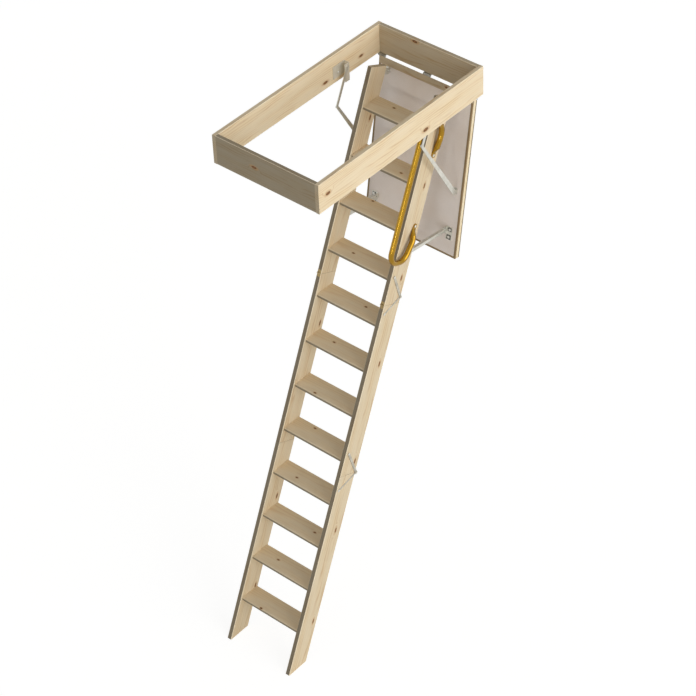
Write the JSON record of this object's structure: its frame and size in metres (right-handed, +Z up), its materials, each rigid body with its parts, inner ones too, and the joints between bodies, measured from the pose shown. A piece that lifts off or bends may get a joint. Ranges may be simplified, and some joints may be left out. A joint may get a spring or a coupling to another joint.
{
  "type": "loft ladder",
  "caption": "Wooden loft ladder in folding sections, standing open below a wooden ceiling casing, with hinged hatch panel, steel arms and a bent tube handrail.",
  "frame": {"origin": "centre of the outer face of the casing board at the hatch's hinge end", "axes": "X across the width with the handrail on the positive side, Y towards the hinge end, Z up"},
  "size_m": [0.6, 1.39, 2.824],
  "materials": {
    "pine": "satin",
    "lipping": "satin",
    "painted_board": "matte",
    "foam_core": "matte",
    "outer_board": "matte",
    "zinc_steel": "satin",
    "rail_paint": "semi-gloss"
  },
  "bodies": {
    "casing_and_upper_section": {"casing_side_left": "pine", "casing_side_right": "pine", "casing_end_near": "pine", "casing_end_hinge": "pine", "hatch_top_rail": "pine", "hatch_border": "lipping", "hatch_inner_panel": "painted_board", "hatch_core": "foam_core", "hatch_outer_panel": "outer_board", "hatch_hinges": "zinc_steel", "arm_casing_brackets": "zinc_steel", "arm_upper_links": "zinc_steel", "arm_lower_links": "zinc_steel", "arm_hatch_brackets": "zinc_steel", "ladder_struts": "zinc_steel", "strut_hatch_brackets": "zinc_steel", "ladder_top_struts": "zinc_steel", "top_hatch_brackets": "zinc_steel", "stringer_upper_left": "pine", "stringer_upper_right": "pine", "tread_09": "pine", "tread_10": "pine", "tread_11": "pine", "tread_12": "pine", "fold_hinges_upper": "zinc_steel", "catch_straps_upper": "zinc_steel", "handrail": "rail_paint"},
    "middle_section": {"stringer_middle_left": "pine", "stringer_middle_right": "pine", "tread_05": "pine", "tread_06": "pine", "tread_07": "pine", "tread_08": "pine", "fold_hinges_middle": "zinc_steel", "catch_straps_middle": "zinc_steel", "hinge_straps_middle": "zinc_steel"},
    "lower_section": {"stringer_lower_left": "pine", "stringer_lower_right": "pine", "tread_01": "pine", "tread_02": "pine", "tread_03": "pine", "tread_04": "pine", "hinge_straps_lower": "zinc_steel"}
  },
  "joints": [
    {"name": "middle_fold", "type": "hinge", "parent": "casing_and_upper_section", "child": "middle_section", "pos_m": [0, -0.60476, -0.94837], "axis": [-1, 0, 0], "range_deg": [0, 180]},
    {"name": "lower_fold", "type": "hinge", "parent": "middle_section", "child": "lower_section", "pos_m": [0, -0.8465, -1.80202], "axis": [1, 0, 0], "range_deg": [0, 180]}
  ],
  "couplings": [
    {"joint": "lower_fold", "follows": "middle_fold", "ratio": 1}
  ]
}
